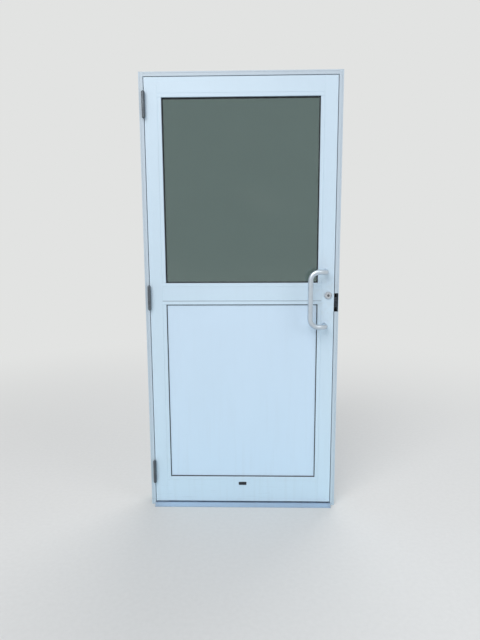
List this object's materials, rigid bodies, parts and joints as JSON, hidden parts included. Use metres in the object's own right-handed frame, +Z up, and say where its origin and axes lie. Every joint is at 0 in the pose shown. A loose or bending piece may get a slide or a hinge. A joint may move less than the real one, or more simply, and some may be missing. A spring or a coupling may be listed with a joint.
{
  "type": "glass door",
  "caption": "Hinged aluminium entrance door with a glazed upper half, a solid lower panel, a pull handle and a lock, in its frame with threshold and electric strike.",
  "frame": {"origin": "on the floor line, at the middle of the frame's width and depth, on the underside of the threshold", "axes": "+X across the door from the hinges to the lock, +Y into the building, +Z up"},
  "size_m": [0.956, 0.1965, 2.1546],
  "materials": {
    "white_frame": "white powder coat, satin",
    "white_leaf": "white powder coat, satin",
    "mill_aluminium": "mill finish, worn",
    "spacer_aluminium": "satin",
    "hinge_steel": "satin, weathered",
    "handle_steel": "satin brushed",
    "lock_steel": "satin",
    "inner_steel": "zinc plated",
    "screw_steel": "satin",
    "cylinder_metal": "satin nickel plated",
    "black_rubber": "matte",
    "grey_rubber": "matte",
    "clear_glass": "polished",
    "panel_core": "foam board",
    "black_plate": "satin"
  },
  "bodies": {
    "frame": {"hinge_jamb": "white_frame", "lock_jamb": "white_frame", "frame_head": "white_frame", "corner_clips": "mill_aluminium", "threshold": "mill_aluminium", "stop_hinge_side": "white_frame", "stop_lock_side": "white_frame", "stop_head": "white_frame", "stop_seals": "grey_rubber", "strike_case": "inner_steel", "strike_faceplate": "lock_steel", "strike_keeper_pin": "lock_steel", "strike_screws": "screw_steel", "hinge_screws_jamb": "screw_steel", "hinge_backers_jamb": "inner_steel", "top_hinge_frame_leaf": "hinge_steel", "top_hinge_pin": "hinge_steel", "middle_hinge_frame_leaf": "hinge_steel", "middle_hinge_pin": "hinge_steel", "bottom_hinge_frame_leaf": "hinge_steel", "bottom_hinge_pin": "hinge_steel"},
    "leaf": {"hinge_stile": "white_leaf", "lock_stile": "white_leaf", "top_rail": "white_leaf", "middle_rail": "white_leaf", "bottom_rail": "white_leaf", "glass_beads_outer": "white_leaf", "glass_beads_inner": "white_leaf", "panel_beads_outer": "white_leaf", "panel_beads_inner": "white_leaf", "panel_outer_skin": "white_leaf", "panel_inner_skin": "white_leaf", "rail_shear_blocks": "mill_aluminium", "glass_spacer": "spacer_aluminium", "top_hinge_door_leaf": "hinge_steel", "middle_hinge_door_leaf": "hinge_steel", "bottom_hinge_door_leaf": "hinge_steel", "pull_handle": "handle_steel", "pull_bolts": "handle_steel", "lever_escutcheon": "handle_steel", "lock_faceplate": "lock_steel", "lock_case": "inner_steel", "hinge_backers_stile": "inner_steel", "hinge_screws_stile": "screw_steel", "lock_screws": "screw_steel", "lock_cylinder": "cylinder_metal", "cylinder_ring": "cylinder_metal", "glass_gaskets": "black_rubber", "panel_gaskets": "black_rubber", "bottom_sweep": "black_rubber", "setting_blocks": "black_rubber", "glass_outer_pane": "clear_glass", "glass_inner_pane": "clear_glass", "panel_core": "panel_core", "bottom_rail_plate": "black_plate"},
    "latch": {"latch_bolt": "lock_steel"},
    "key_plug": {"key_plug": "cylinder_metal"},
    "lever": {"inside_lever": "handle_steel", "lever_spindle": "handle_steel"},
    "keeper": {"strike_keeper": "lock_steel"}
  },
  "joints": [
    {"name": "door_swing", "type": "hinge", "parent": "frame", "child": "leaf", "pos_m": [-0.4555, -0.06985, 1.0967], "axis": [0, 0, -1], "range_deg": [0, 110]},
    {"name": "key_turn", "type": "hinge", "parent": "leaf", "child": "key_plug", "pos_m": [0.4254, -0.06, 1.1057], "axis": [0, 1, 0], "range_deg": [0, 120]},
    {"name": "latch_slide", "type": "slide", "parent": "leaf", "child": "latch", "axis": [1, 0, 0], "range_m": [0, 0.0159]},
    {"name": "lever_turn", "type": "hinge", "parent": "leaf", "child": "lever", "pos_m": [0.4254, 0, 1.1057], "axis": [0, -1, 0], "range_deg": [0, 45], "stiffness_Nm_per_rad": 0.6, "springref_deg": -45.84},
    {"name": "keeper_swing", "type": "hinge", "parent": "frame", "child": "keeper", "pos_m": [0.4692, -0.04702, 1.0707], "axis": [0, 0, 1], "range_deg": [0, 50], "stiffness_Nm_per_rad": 0.05, "springref_deg": -17.19}
  ],
  "couplings": [
    {"joint": "key_turn", "follows": "latch_slide", "rad_per_m": 131.7}
  ]
}
